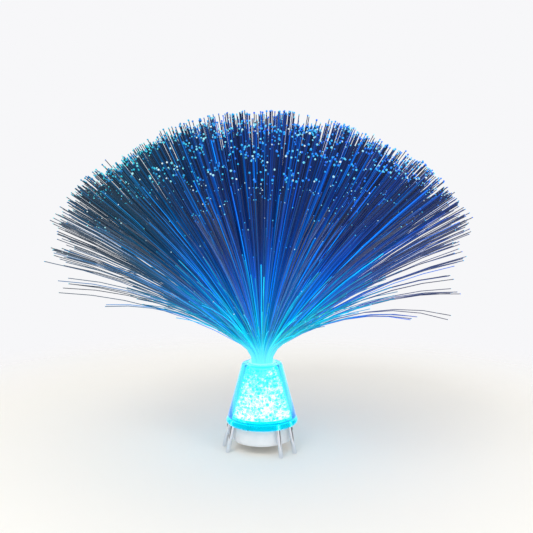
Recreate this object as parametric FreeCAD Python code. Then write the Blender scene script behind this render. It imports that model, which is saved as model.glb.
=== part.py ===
import FreeCAD, Part
import math
import os

from FreeCAD import Vector

# A battery lamp: a clear, thick-walled cone full of acrylic chips stands on six slim steel
# rods, and a bouquet of light-carrying fibres is plugged into its top. Millimetres, +Z up.
# The origin is on the floor under the lamp's axis. The front is -Y, and an azimuth is
# counted in degrees from the front towards +X.

os.makedirs("parts", exist_ok=True)

# Driving dimensions of the clear body
body_bottom_z = 26.0
body_height = 60.0
body_bottom_radius = 35.6
body_top_radius = 20.0
body_wall = 5.0
top_wall = 3.0
shoulder_round = 3.0
base_thickness = 5.5
base_round = 2.5
spigot_height = 3.0
spigot_wall = 1.8

# Legs
leg_radius = 2.1
leg_top_circle = 32.0
leg_foot_circle = 38.0
leg_socket_depth = 4.0
leg_pair_azimuth = 29.0
leg_pair_spread = 28.5
leg_pairs = 3
foot_round = 0.9

# Clearances
glue_gap = 0.15
slide_gap = 0.06
seat_gap = 0.1
screw_gap = 0.05

# Fibre bundle
fibre_radius = 0.55
fibre_pitch = 1.2
fibre_rings = 8
fibre_length = 250.0
fibre_trim = 9.0
fan_edge_tilt = 50.0
widest_tilt = 78.0
side_reach = 200.0
neck_bend_radius = 24.0
droop_of_widest = 40.0
first_corner_azimuth = 30.0
slug_height = 12.0
ferrule_wall = 0.8
ferrule_height = 24.6
ferrule_rise = 0.4

# Collar and light tube
collar_wall = 0.9
collar_flange_radius = 13.4
collar_flange = 1.0
collar_ledge = 1.2
collar_ledge_width = 1.4
light_tube_wall = 1.0

# Light source
board_radius = 20.0
board_thickness = 1.6
board_screw_circle = 16.0
led_radius = 2.5
led_body = 5.6
led_rim = 0.4
led_rim_height = 1.0
led_circle = 5.0
led_count = 3
reflector_radius = 10.6
reflector_height = 7.0
reflector_floor = 1.2
resistor_size = (3.2, 1.6, 0.6)
resistor_circle = 14.6

# Crystal chips
chip_radius = 2.4
chip_gap = 0.1
chip_sides = 6
chip_size_step = 0.03
chip_flat_share = 0.62
chip_floor = 1.5

# Battery housing
housing_radius = 29.3
housing_wall = 1.2
housing_bottom_z = 11.2
housing_top_wall = 1.5
end_wall = 1.0
end_wall_clear = 2.4
cradle_thickness = 1.2
cradle_place = 8.0
lid_thickness = 1.6
lid_round = 0.7
lip_height = 1.9
lip_width = 1.0
lip_half_span = 12.0
boss_radius = 2.8

# Cells and contacts
cell_radius = 5.25
cell_length = 44.5
cell_nub_radius = 1.9
cell_nub = 1.0
cell_pitch = 10.9
spring_length = 2.7
contact_thickness = 0.4
contact_half_width = 3.5
contact_tab = 1.2
spring_thickness = 0.3
spring_half_span = 3.2
spring_half_width = 2.4

# Screws
screw_radius = 1.1
screw_head_radius = 1.9
screw_head = 1.2
housing_screw_circle = 22.0
housing_screw_azimuths = (45.0, 180.0, 315.0)
lid_screw_circle = 22.0
lid_screw_azimuths = (75.0, 270.0)
lid_screw_bite = 7.0
board_screw_bite = 3.6
housing_screw_bite = 4.0

# Switch
switch_azimuth = 103.25
switch_depth = 4.8
switch_half_width = 4.3
switch_height = 4.2
switch_z = 16.2
switch_wall_gap = 0.3
knob_half_width = 1.0
knob_height = 2.0
knob_travel = 3.0
knob_pad_half_width = 1.9
knob_pad_height = 3.0
knob_pad = 1.5
knob_root = 2.2

# Leads
lead_radius = 0.5
lead_bend = 1.4
lead_hole_gap = 0.3
lead_tab_run = 8.0
board_lead_inset = 3.0
board_return_place = 13.0

# Derived places
body_top_z = body_bottom_z + body_height
base_top_z = body_bottom_z + base_thickness
cavity_top_z = body_top_z - top_wall
bundle_radius = fibre_rings * fibre_pitch + fibre_radius
ferrule_inner = bundle_radius + screw_gap
ferrule_outer = ferrule_inner + ferrule_wall
ferrule_top_z = body_top_z + ferrule_rise
ferrule_bottom_z = ferrule_top_z - ferrule_height
slug_top_z = ferrule_bottom_z + slug_height
fan_start_z = body_top_z - 2.0
collar_inner = ferrule_outer + slide_gap
collar_outer = collar_inner + collar_wall
collar_bottom_z = ferrule_bottom_z - collar_ledge
board_top_z = base_top_z + board_thickness
housing_inner = housing_radius - housing_wall
housing_ceiling_z = body_bottom_z - housing_top_wall
lid_top_z = housing_bottom_z - seat_gap
lid_bottom_z = lid_top_z - lid_thickness
cell_axis_z = lid_top_z + seat_gap + cell_radius
bay_length = cell_length + spring_length
half_bay = bay_length / 2
end_wall_bottom_z = housing_bottom_z + end_wall_clear
lead_run_z = (cell_axis_z + cell_radius + housing_ceiling_z) / 2
up = Vector(0, 0, 1)
zero = Vector(0, 0, 0)


def body_radius(z):
    """Outer radius of the clear cone at a height."""
    share = (z - body_bottom_z) / body_height
    return body_bottom_radius + (body_top_radius - body_bottom_radius) * share


def cavity_radius(z):
    """Radius of the hollow inside the clear cone at a height."""
    return body_radius(z) - body_wall


def at_azimuth(radius, azimuth, z):
    """A point at a distance from the axis, in a direction counted from the front."""
    angle = math.radians(azimuth)
    return Vector(radius * math.sin(angle), -radius * math.cos(angle), z)


def face_azimuth(shape, azimuth):
    """Turns a shape made pointing along +X so that it points along an azimuth."""
    turned = shape.copy()
    turned.rotate(zero, up, azimuth - 90)
    return turned


def disc(radius, z_low, z_high, centre=zero):
    return Part.makeCylinder(radius, z_high - z_low, Vector(centre.x, centre.y, z_low))


def tube(outer, inner, z_low, z_high):
    return disc(outer, z_low, z_high).cut(disc(inner, z_low, z_high))


def block(low, high):
    size = high.sub(low)
    return Part.makeBox(size.x, size.y, size.z, low)


def rim_edges(shape, z, radius):
    """The circular edges of a given radius that lie at one height."""
    found = []
    for edge in shape.Edges:
        curve = edge.Curve
        if not isinstance(curve, Part.Circle):
            continue
        level = abs(curve.Center.z - z) < 1e-4 and abs(abs(curve.Axis.z) - 1) < 1e-6
        if level and abs(curve.Radius - radius) < 1e-4:
            found.append(edge)
    return found


def save(name, shape):
    """Writes one node and prints what it holds."""
    shape.exportStep("parts/" + name + ".step")
    print(name, len(shape.Solids), "solids", round(shape.Volume), "mm3", shape.isValid())


def save_group(name, solids):
    save(name, Part.makeCompound(solids))


# Legs

def leg_line(azimuth):
    """A point on the floor and the direction of a leg's axis."""
    foot = at_azimuth(leg_foot_circle, azimuth, 0)
    top = at_azimuth(leg_top_circle, azimuth, body_bottom_z)
    direction = top.sub(foot)
    direction.normalize()
    return foot, direction


def leg_bar(azimuth, radius, reach):
    """A round bar along a leg's axis, from below the floor to reach past the body's base."""
    foot, direction = leg_line(azimuth)
    below = leg_radius
    start = foot.sub(Vector(direction).multiply(below))
    length = below + (body_bottom_z + reach) / direction.z
    return Part.makeCylinder(radius, length, start, direction)


def leg_rod(azimuth):
    bar = leg_bar(azimuth, leg_radius, leg_socket_depth)
    floor = block(Vector(-60, -60, -10), Vector(60, 60, 0))
    rod = bar.cut(floor)
    sole = [e for e in rod.Edges if e.BoundBox.ZMax < 1e-6]
    return rod.makeFillet(foot_round, sole)


def leg_azimuths():
    result = []
    for pair in range(leg_pairs):
        first = leg_pair_azimuth + pair * 360 / leg_pairs
        result += [first, first + leg_pair_spread]
    return result


for number, azimuth in enumerate(leg_azimuths()):
    save("leg_rod_%d" % (number + 1), leg_rod(azimuth))


# Screws and the holes for them

def screw(centre, seat_z, bite, way):
    """A pan-head screw: seat_z is under the head, way is +1 where the shank points up."""
    head_low = seat_z - screw_head if way > 0 else seat_z
    shank_low = seat_z if way > 0 else seat_z - bite
    head = disc(screw_head_radius, head_low, head_low + screw_head, centre)
    shank = disc(screw_radius, shank_low, shank_low + bite, centre)
    tip_z = head_low if way > 0 else head_low + screw_head
    head = head.makeFillet(screw_head * 0.45, rim_edges(head, tip_z, screw_head_radius))
    slot_low = tip_z if way > 0 else tip_z - screw_head * 0.4
    slot_reach = screw_head_radius * 0.7
    slot_half = screw_head_radius * 0.14
    whole = head.fuse(shank)
    for along in (0, 1):
        half_x = slot_reach if along else slot_half
        half_y = slot_half if along else slot_reach
        low = Vector(centre.x - half_x, centre.y - half_y, slot_low)
        high = Vector(centre.x + half_x, centre.y + half_y, slot_low + screw_head * 0.4)
        whole = whole.cut(block(low, high))
    return whole


housing_screw_places = [
    at_azimuth(housing_screw_circle, a, 0) for a in housing_screw_azimuths
]
lid_screw_places = [at_azimuth(lid_screw_circle, a, 0) for a in lid_screw_azimuths]
board_screw_places = [at_azimuth(board_screw_circle, a, 0) for a in (90, 270)]
lead_hole_radius = lead_radius + lead_hole_gap


# Leads

def lead(points):
    """A round lead along straight runs joined by tangent arcs."""
    edges = []
    previous = points[0]
    for here, after in zip(points[1:-1], points[2:]):
        towards = here.sub(previous).normalize()
        away = after.sub(here).normalize()
        turn = towards.getAngle(away)
        trim = lead_bend * math.tan(turn / 2)
        enter = here.sub(Vector(towards).multiply(trim))
        leave = here.add(Vector(away).multiply(trim))
        inward = Vector(away).sub(towards).normalize()
        centre = here.add(Vector(inward).multiply(lead_bend / math.cos(turn / 2)))
        middle = centre.sub(Vector(inward).multiply(lead_bend))
        edges.append(Part.LineSegment(previous, enter).toShape())
        edges.append(Part.Arc(enter, middle, leave).toShape())
        previous = leave
    edges.append(Part.LineSegment(previous, points[-1]).toShape())
    path = Part.Wire(edges)
    start = points[1].sub(points[0])
    ring = Part.Wire(Part.makeCircle(lead_radius, points[0], start))
    return path.makePipeShell([ring], True, False)


switch_top_z = switch_z + switch_height / 2
switch_inner = math.sqrt(housing_inner**2 - switch_half_width**2) - switch_wall_gap - switch_depth
lead_corner = at_azimuth(switch_inner + switch_depth / 2, switch_azimuth, 0)
lead_side = at_azimuth(1, switch_azimuth + 90, 0)
input_place = lead_corner.add(Vector(lead_side).multiply(switch_half_width / 2))
output_place = lead_corner.sub(Vector(lead_side).multiply(switch_half_width / 2))
board_output = at_azimuth(board_radius - board_lead_inset, switch_azimuth, 0)
board_return = Vector(-cell_pitch, -board_return_place, 0)
tab_top_z = lead_run_z + lead_radius
contact_y = half_bay + contact_thickness


def raised(point, z):
    return Vector(point.x, point.y, z)


positive_tab = Vector(cell_pitch, half_bay, lead_run_z)
negative_tab = Vector(-cell_pitch, -half_bay, lead_run_z)
save("lead_positive", lead([
    positive_tab,
    Vector(cell_pitch, half_bay - lead_tab_run, lead_run_z),
    raised(input_place, lead_run_z),
    raised(input_place, switch_top_z),
]))
save("lead_switched", lead([
    raised(output_place, switch_top_z),
    raised(output_place, lead_run_z),
    raised(board_output, lead_run_z),
    raised(board_output, base_top_z),
]))
save("lead_negative", lead([
    negative_tab,
    raised(board_return, lead_run_z),
    raised(board_return, base_top_z),
]))


# The clear base, shell, collar and light tube

def base_disc():
    shape = Part.makeCone(
        body_bottom_radius, body_radius(base_top_z), base_thickness, Vector(0, 0, body_bottom_z)
    )
    shape = shape.makeFillet(base_round, rim_edges(shape, body_bottom_z, body_bottom_radius))
    spigot_low = cavity_radius(base_top_z) - glue_gap
    spigot_high = cavity_radius(base_top_z + spigot_height) - glue_gap
    spigot = Part.makeCone(spigot_low, spigot_high, spigot_height, Vector(0, 0, base_top_z))
    spigot = spigot.cut(disc(spigot_high - spigot_wall, base_top_z, base_top_z + spigot_height))
    shape = shape.fuse(spigot)
    for azimuth in leg_azimuths():
        shape = shape.cut(leg_bar(azimuth, leg_radius + screw_gap, leg_socket_depth + screw_gap))
    for place in housing_screw_places:
        bite_z = housing_ceiling_z + housing_screw_bite + screw_gap
        shape = shape.cut(disc(screw_radius + screw_gap, body_bottom_z, bite_z, place))
    for place in board_screw_places:
        low = base_top_z - (board_screw_bite - board_thickness) - screw_gap
        shape = shape.cut(disc(screw_radius + screw_gap, low, base_top_z, place))
    for place in (board_output, board_return):
        shape = shape.cut(disc(lead_hole_radius, body_bottom_z, base_top_z, place))
    return shape


def outer_shell():
    shape = Part.makeCone(
        body_radius(base_top_z),
        body_top_radius,
        body_top_z - base_top_z,
        Vector(0, 0, base_top_z),
    )
    shape = shape.makeFillet(shoulder_round, rim_edges(shape, body_top_z, body_top_radius))
    cavity = Part.makeCone(
        cavity_radius(base_top_z),
        cavity_radius(cavity_top_z),
        cavity_top_z - base_top_z,
        Vector(0, 0, base_top_z),
    )
    return shape.cut(cavity).cut(disc(collar_outer + slide_gap, cavity_top_z, body_top_z))


def top_collar():
    flange_top = body_top_z + collar_flange
    shape = disc(collar_outer, collar_bottom_z, flange_top)
    flange = disc(collar_flange_radius, body_top_z, flange_top)
    flange = flange.makeFillet(collar_flange * 0.6, rim_edges(flange, flange_top, collar_flange_radius))
    shape = shape.fuse(flange)
    shape = shape.cut(disc(collar_inner, ferrule_bottom_z, flange_top))
    return shape.cut(disc(collar_inner - collar_ledge_width, collar_bottom_z, ferrule_bottom_z))


def light_tube():
    return tube(collar_outer, collar_outer - light_tube_wall, board_top_z, collar_bottom_z)


save("base_disc", base_disc())
save("outer_shell", outer_shell())
save("top_collar", top_collar())
save("light_tube", light_tube())


# Crystal chips between the light tube and the shell

def chip(centre, step):
    """A cut chip: two small flats and a wider waist, turned by an amount that varies."""
    turn = math.radians(47.0 * step)
    tilt = 31.0 * step
    size = chip_radius * (1 - chip_size_step * (step % 3))
    half_height = size * math.sqrt(1 - chip_flat_share**2)
    rings = []
    for share, height in ((chip_flat_share, -half_height), (1, 0), (chip_flat_share, half_height)):
        ring = []
        for corner in range(chip_sides):
            angle = turn + corner * 2 * math.pi / chip_sides
            ring.append(Vector(size * share * math.cos(angle), size * share * math.sin(angle), height))
        rings.append(ring)
    faces = [Part.Face(Part.makePolygon(ring + ring[:1])) for ring in (rings[0], rings[2])]
    for lower, upper in zip(rings, rings[1:]):
        for corner in range(chip_sides):
            after = (corner + 1) % chip_sides
            loop = [lower[corner], lower[after], upper[after], upper[corner], lower[corner]]
            faces.append(Part.Face(Part.makePolygon(loop)))
    solid = Part.makeSolid(Part.makeShell(faces))
    if solid.Volume < 0:
        solid.reverse()
    solid.rotate(zero, Vector(math.cos(turn), math.sin(turn), 0.3), tilt)
    solid.translate(centre)
    return solid


def crystal_chips():
    """Rings of chips in layers, as many as the hollow holds at each height."""
    pitch = 2 * chip_radius + chip_gap
    z = board_top_z + chip_floor + chip_radius
    nearest = collar_outer + chip_gap + chip_radius
    chips = []
    layer = 0
    while z + chip_radius + chip_gap < cavity_top_z:
        farthest = cavity_radius(z + chip_radius) - chip_gap - chip_radius
        rings = int((farthest - nearest) / pitch) + 1 if farthest >= nearest else 0
        for ring in range(rings):
            share = ring / (rings - 1) if rings > 1 else 0.5
            radius = nearest + (farthest - nearest) * share
            count = int(math.pi / math.asin(pitch / 2 / radius))
            for place in range(count):
                azimuth = 360 * (place + 0.5 * (layer % 2)) / count
                chips.append(chip(at_azimuth(radius, azimuth, z), len(chips)))
        z += pitch
        layer += 1
    return chips


save_group("crystal_chips", crystal_chips())


# Light source

def led_board():
    shape = disc(board_radius, base_top_z, board_top_z)
    for place in board_screw_places:
        shape = shape.cut(disc(screw_radius + screw_gap, base_top_z, board_top_z, place))
    return shape


def led(azimuth):
    place = at_azimuth(led_circle, azimuth, 0)
    rim = disc(led_radius + led_rim, board_top_z, board_top_z + led_rim_height, place)
    body = disc(led_radius, board_top_z, board_top_z + led_body, place)
    dome = Part.makeSphere(led_radius, raised(place, board_top_z + led_body), up, 0, 90, 360)
    return rim.fuse(body).fuse(dome)


def reflector_cup():
    low = board_top_z
    shape = disc(reflector_radius, low, low + reflector_height)
    bowl = Part.makeCone(
        reflector_radius * 0.75,
        reflector_radius * 0.93,
        reflector_height - reflector_floor,
        Vector(0, 0, low + reflector_floor),
    )
    shape = shape.cut(bowl)
    for azimuth in led_azimuths:
        place = at_azimuth(led_circle, azimuth, 0)
        hole = led_radius + led_rim + seat_gap
        shape = shape.cut(disc(hole, low, low + reflector_floor, place))
    return shape


def resistor(azimuth):
    length, width, height = resistor_size
    low = Vector(resistor_circle - width / 2, -length / 2, board_top_z)
    high = Vector(resistor_circle + width / 2, length / 2, board_top_z + height)
    return face_azimuth(block(low, high), azimuth)


led_azimuths = [360 * n / led_count for n in range(led_count)]
save("led_board", led_board())
save_group("leds", [led(a) for a in led_azimuths])
save("reflector_cup", reflector_cup())
save_group("series_resistors", [resistor(a) for a in led_azimuths])
save_group(
    "led_board_screws",
    [screw(place, board_top_z, board_screw_bite, -1) for place in board_screw_places],
)


# Battery housing, lid and their screws

def switch_block(depth_low, depth_high, half_width, height):
    """A block in the switch's own directions: outwards, sideways and up."""
    low = Vector(depth_low, -half_width, switch_z - height / 2)
    high = Vector(depth_high, half_width, switch_z + height / 2)
    return face_azimuth(block(low, high), switch_azimuth)


def knob_slot(depth_low, depth_high):
    """Room for the knob's stem over its whole travel."""
    half_width = knob_half_width + knob_travel / 2 + slide_gap
    return switch_block(depth_low, depth_high, half_width, knob_height + 2 * slide_gap)


def cradle(y):
    """A rib across the bay, scalloped to hold the cells from above."""
    reach = cell_pitch + cell_radius
    low = Vector(-reach, y - cradle_thickness / 2, cell_axis_z + seat_gap)
    high = Vector(reach, y + cradle_thickness / 2, housing_ceiling_z)
    rib = block(low, high)
    for x in (-cell_pitch, 0, cell_pitch):
        start = Vector(x, y - cradle_thickness, cell_axis_z)
        room = Part.makeCylinder(
            cell_radius + seat_gap, 2 * cradle_thickness, start, Vector(0, 1, 0)
        )
        rib = rib.cut(room)
    return rib


def battery_housing():
    shape = disc(housing_radius, housing_bottom_z, body_bottom_z)
    room = disc(housing_inner, housing_bottom_z, housing_ceiling_z)
    shape = shape.cut(room)
    reach = cell_pitch + contact_half_width + seat_gap
    for side in (-1, 1):
        near = side * contact_y
        far = side * (contact_y + end_wall)
        low = Vector(-reach, min(near, far), end_wall_bottom_z)
        high = Vector(reach, max(near, far), housing_ceiling_z)
        shape = shape.fuse(block(low, high).common(disc(housing_radius, 0, body_bottom_z)))
        shape = shape.fuse(cradle(side * cradle_place))
    for place in lid_screw_places:
        shape = shape.fuse(disc(boss_radius, housing_bottom_z, housing_ceiling_z, place))
    for place in lid_screw_places:
        top_z = housing_bottom_z + lid_screw_bite
        shape = shape.cut(disc(screw_radius + screw_gap, housing_bottom_z, top_z, place))
    for place in housing_screw_places:
        hole = disc(screw_radius + screw_gap, housing_ceiling_z, body_bottom_z, place)
        shape = shape.cut(hole)
    for place in (board_output, board_return):
        shape = shape.cut(disc(lead_hole_radius, housing_ceiling_z, body_bottom_z, place))
    return shape.cut(knob_slot(housing_inner - 2, housing_radius + 1)).removeSplitter()


def battery_lid():
    shape = disc(housing_radius, lid_bottom_z, lid_top_z)
    shape = shape.makeFillet(lid_round, rim_edges(shape, lid_bottom_z, housing_radius))
    lip_outer = housing_inner - seat_gap
    lip = tube(lip_outer, lip_outer - lip_width, lid_top_z, lid_top_z + lip_height)
    reach = housing_radius
    low = Vector(-reach, -lip_half_span, lid_top_z)
    high = Vector(reach, lip_half_span, lid_top_z + lip_height)
    shape = shape.fuse(lip.common(block(low, high)))
    for place in lid_screw_places:
        shape = shape.cut(disc(screw_radius + screw_gap, lid_bottom_z, lid_top_z, place))
        sink = disc(screw_head_radius + seat_gap, lid_bottom_z, lid_seat_z, place)
        shape = shape.cut(sink)
    return shape


lid_seat_z = lid_bottom_z + screw_head * 0.75
save("battery_housing", battery_housing())
save("battery_lid", battery_lid())
save_group(
    "lid_screws",
    [screw(place, lid_seat_z, lid_screw_bite, 1) for place in lid_screw_places],
)
save_group(
    "housing_screws",
    [screw(place, housing_ceiling_z, housing_screw_bite, 1) for place in housing_screw_places],
)


# Cells, contacts and leaf springs. The negative end of the outer cells is at the front, and
# that of the middle one is at the back, so that the three are in series.

def cell(x, negative_side):
    """One cell along Y, with its flat negative end against the spring."""
    way = Vector(0, -negative_side, 0)
    start = Vector(x, negative_side * (half_bay - spring_length), cell_axis_z)
    can_length = cell_length - cell_nub
    can = Part.makeCylinder(cell_radius, can_length, start, way)
    ends = [e for e in can.Edges if isinstance(e.Curve, Part.Circle)]
    can = can.makeFillet(0.5, ends)
    nub = Part.makeCylinder(
        cell_nub_radius, cell_nub, start.add(Vector(way).multiply(can_length)), way
    )
    return can.fuse(nub)


def contact(x_low, x_high, side, tab_x=None):
    """A flat contact across one or two cells, with a tab up to its lead where it has one."""
    near = side * half_bay
    far = side * contact_y
    y_low, y_high = min(near, far), max(near, far)
    low_z = cell_axis_z - contact_half_width
    high_z = cell_axis_z + contact_half_width
    shape = block(Vector(x_low, y_low, low_z), Vector(x_high, y_high, high_z))
    if tab_x is not None:
        tab_low = Vector(tab_x - contact_tab, y_low, high_z)
        tab_high = Vector(tab_x + contact_tab, y_high, tab_top_z)
        shape = shape.fuse(block(tab_low, tab_high)).removeSplitter()
    return shape


def contact_spring(x, side):
    """The arched leaf between a contact and a cell's negative end."""
    crest = spring_length - seat_gap
    arch = []
    for inset in (0, spring_thickness):
        foot = Vector(0, spring_half_span - inset, 0)
        top = Vector(0, 0, crest - inset)
        arch.append(Part.Arc(foot, top, Vector(0, -foot.y, 0)).toShape())
    feet = [
        Part.LineSegment(outer.Point, inner.Point).toShape()
        for outer, inner in zip(arch[0].Vertexes, arch[1].Vertexes)
    ]
    leaf = Part.Face(Part.Wire([arch[0], feet[1], arch[1], feet[0]]))
    leaf = leaf.extrude(Vector(2 * spring_half_width, 0, 0))
    leaf.translate(Vector(-spring_half_width, 0, 0))
    leaf.rotate(zero, Vector(1, 0, 0), 90 * side)
    leaf.translate(Vector(x, side * half_bay, cell_axis_z))
    return leaf


front, back = -1, 1
cell_sides = ((-cell_pitch, front), (0, back), (cell_pitch, front))
for number, (x, side) in enumerate(cell_sides):
    save("battery_cell_%d" % (number + 1), cell(x, side))
wide = cell_pitch + contact_half_width
save_group("contact_plates", [
    contact(-wide, -cell_pitch + contact_half_width, front, -cell_pitch),
    contact(-contact_half_width, wide, front),
    contact(-wide, contact_half_width, back),
    contact(cell_pitch - contact_half_width, wide, back, cell_pitch),
])
save_group("contact_springs", [contact_spring(x, side) for x, side in cell_sides])


# Slide switch

def switch_body():
    face = switch_inner + switch_depth
    shape = switch_block(switch_inner, face, switch_half_width, switch_height)
    return shape.cut(knob_slot(face - knob_root - slide_gap, face))


def switch_knob():
    """The stem runs in the switch's slot, and the ribbed pad is pushed with a fingertip."""
    face = switch_inner + switch_depth
    pad_inner = housing_radius + seat_gap
    stem = block(
        Vector(face - knob_root, -knob_half_width, switch_z - knob_height / 2),
        Vector(pad_inner, knob_half_width, switch_z + knob_height / 2),
    )
    pad = block(
        Vector(pad_inner, -knob_pad_half_width, switch_z - knob_pad_height / 2),
        Vector(pad_inner + knob_pad, knob_pad_half_width, switch_z + knob_pad_height / 2),
    )
    shape = stem.fuse(pad)
    groove = knob_pad_half_width / 5
    for y in (-2 * groove, 0, 2 * groove):
        low = Vector(pad_inner + knob_pad * 0.7, y - groove / 2, switch_z - knob_pad_height)
        high = Vector(pad_inner + knob_pad * 2, y + groove / 2, switch_z + knob_pad_height)
        shape = shape.cut(block(low, high))
    shape.translate(Vector(0, -knob_travel / 2, 0))
    return face_azimuth(shape, switch_azimuth)


save("switch_body", switch_body())
save("switch_knob", switch_knob())


# Fibre bouquet

def tip_tilt(share):
    """How far a fibre's tip lies from upright, seen from the neck. Inside the outermost ring
    the fibres fill a dense, even fan. The ring's corners hang out beyond it."""
    fan_share = (fibre_rings - 1) / fibre_rings
    fan_edge = math.radians(fan_edge_tilt)
    if share <= fan_share:
        return math.acos(1 - (1 - math.cos(fan_edge)) * (share / fan_share) ** 2)
    beyond = (share - fan_share) / (1 - fan_share)
    return fan_edge + math.radians(widest_tilt - fan_edge_tilt) * beyond


def fibre(place, share, short):
    """One fibre: up out of the ferrule, round the neck's bend, then a long gentle droop."""
    tilt = tip_tilt(share)
    droop = math.radians(droop_of_widest) * (tilt / math.radians(widest_tilt)) ** 2
    lean = tilt - droop / 2
    bend = neck_bend_radius + (1 - share) * (bundle_radius - fibre_radius)
    length = fibre_length if share == 0 else min(fibre_length, side_reach / math.sin(tilt))
    length -= fibre_trim * short
    distance = math.hypot(place.x, place.y)
    outwards = Vector(place).multiply(1 / distance) if distance > 0 else Vector(1, 0, 0)
    start = raised(place, slug_top_z)
    ring = Part.Wire(Part.makeCircle(fibre_radius, start, up))
    fan_start = raised(place, fan_start_z)
    if share == 0:
        return disc(fibre_radius, slug_top_z, fan_start_z + length, place)

    def on_arc(origin, tilt, radius, angle):
        """The point reached after a bend of an angle that starts at a tilt from upright."""
        side = math.cos(tilt) - math.cos(tilt + angle)
        rise = math.sin(tilt + angle) - math.sin(tilt)
        step = Vector(outwards).multiply(radius * side).add(Vector(0, 0, radius * rise))
        return origin.add(step)

    neck_end = on_arc(fan_start, 0, bend, lean)
    rest = length - bend * lean
    sag = rest / droop
    edges = [
        Part.LineSegment(start, fan_start).toShape(),
        Part.Arc(fan_start, on_arc(fan_start, 0, bend, lean / 2), neck_end).toShape(),
        Part.Arc(
            neck_end, on_arc(neck_end, lean, sag, droop / 2), on_arc(neck_end, lean, sag, droop)
        ).toShape(),
    ]
    return Part.Wire(edges).makePipeShell([ring], True, False)


def fibre_ring(ring):
    """The fibres of one hexagonal ring of the bundle. Opposite ones have one length."""
    if ring == 0:
        return [fibre(zero, 0, 0)]
    hexagon_turn = 360 / 6
    azimuths = [first_corner_azimuth + hexagon_turn * corner for corner in range(7)]
    corners = [at_azimuth(ring * fibre_pitch, azimuth, 0) for azimuth in azimuths]
    result = []
    for side in range(6):
        step = corners[side + 1].sub(corners[side])
        for place in range(ring):
            spot = corners[side].add(Vector(step).multiply(place / ring))
            share = math.hypot(spot.x, spot.y) / (fibre_rings * fibre_pitch)
            result.append(fibre(spot, share, (place * 2 + ring) % 3))
    return result


def bouquet(first_ring, last_ring):
    result = []
    for ring in range(first_ring, last_ring + 1):
        result += fibre_ring(ring)
    return result


save("bundle_slug", disc(bundle_radius, ferrule_bottom_z, slug_top_z))
save("fibre_ferrule", tube(ferrule_outer, ferrule_inner, ferrule_bottom_z, ferrule_top_z))
save_group("fibres_core", bouquet(0, 3))
save_group("fibres_inner", bouquet(4, 5))
save_group("fibres_middle", bouquet(6, 7))
save_group("fibres_outer", bouquet(8, 8))
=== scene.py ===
# %% [markdown]
# A fiber optic lamp. A clear acrylic cone, full of crystal chips and lit from inside, stands
# on slim chrome rods, and a bouquet of fibres carries its light up and out to their tips.
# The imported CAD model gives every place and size, and this file gives each piece its looks.
# Here the CAD pieces are loaded, and their box is kept so that it can be compared later.

# %% Load the frame
import math
import random

import bpy
from mathutils import Euler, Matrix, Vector


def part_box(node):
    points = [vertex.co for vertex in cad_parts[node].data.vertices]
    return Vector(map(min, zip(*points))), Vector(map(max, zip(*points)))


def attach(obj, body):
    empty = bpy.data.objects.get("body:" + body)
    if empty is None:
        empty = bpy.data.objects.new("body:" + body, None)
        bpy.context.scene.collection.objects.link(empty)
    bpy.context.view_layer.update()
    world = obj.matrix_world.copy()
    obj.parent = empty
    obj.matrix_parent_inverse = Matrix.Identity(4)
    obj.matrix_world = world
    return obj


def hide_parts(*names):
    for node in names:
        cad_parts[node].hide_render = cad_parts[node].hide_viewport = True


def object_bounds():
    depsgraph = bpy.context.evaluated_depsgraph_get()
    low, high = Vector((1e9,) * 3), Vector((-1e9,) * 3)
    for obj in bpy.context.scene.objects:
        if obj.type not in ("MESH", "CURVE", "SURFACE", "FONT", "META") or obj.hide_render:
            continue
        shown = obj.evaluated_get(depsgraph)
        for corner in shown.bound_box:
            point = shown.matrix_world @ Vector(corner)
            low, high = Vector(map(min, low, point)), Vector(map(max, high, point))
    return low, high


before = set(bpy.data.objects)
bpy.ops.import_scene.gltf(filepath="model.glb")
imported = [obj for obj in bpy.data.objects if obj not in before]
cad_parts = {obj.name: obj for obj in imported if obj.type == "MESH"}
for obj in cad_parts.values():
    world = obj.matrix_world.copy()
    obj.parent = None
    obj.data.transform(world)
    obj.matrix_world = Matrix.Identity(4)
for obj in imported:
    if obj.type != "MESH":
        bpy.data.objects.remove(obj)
cad_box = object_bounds()

# %% [markdown]
# Operators act on whatever is selected, and on the mode that the last one left behind. So
# every piece starts from nothing selected, and ends with its place in its mesh. A few small
# helpers do this, and the rest of the file reads as the steps one would take by hand.

# %% Helpers for selecting and finishing
def clear_selection():
    if bpy.context.object and bpy.context.object.mode != "OBJECT":
        bpy.ops.object.mode_set(mode="OBJECT")
    bpy.ops.object.select_all(action="DESELECT")


def choose(piece):
    clear_selection()
    piece.select_set(True)
    bpy.context.view_layer.objects.active = piece


def place_in_mesh(piece):
    """Moves the object's place, turn and scale into its mesh."""
    choose(piece)
    bpy.ops.object.transform_apply(location=True, rotation=True, scale=True)


def apply_modifier(piece, kind, **settings):
    choose(piece)
    modifier = piece.modifiers.new(kind.title(), kind)
    for setting, value in settings.items():
        setattr(modifier, setting, value)
    bpy.ops.object.modifier_apply(modifier=modifier.name)


def smooth(piece, degrees=35):
    choose(piece)
    bpy.ops.object.shade_smooth_by_angle(angle=math.radians(degrees))


def dress(piece, material):
    piece.data.materials.clear()
    piece.data.materials.append(material)


# %% [markdown]
# The camera stands where the photographer did: 720 mm in front of the lamp's axis, a little
# above the neck, looking six degrees down through a 50 mm lens. The lamp stands a few pixels
# left of the middle of the picture, which a small shift of the lens gives.

# %% Camera
picture_size = 533
camera_distance = 0.720
camera_height = 0.257
look_down = math.radians(6)
axis_pixel = 262

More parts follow.
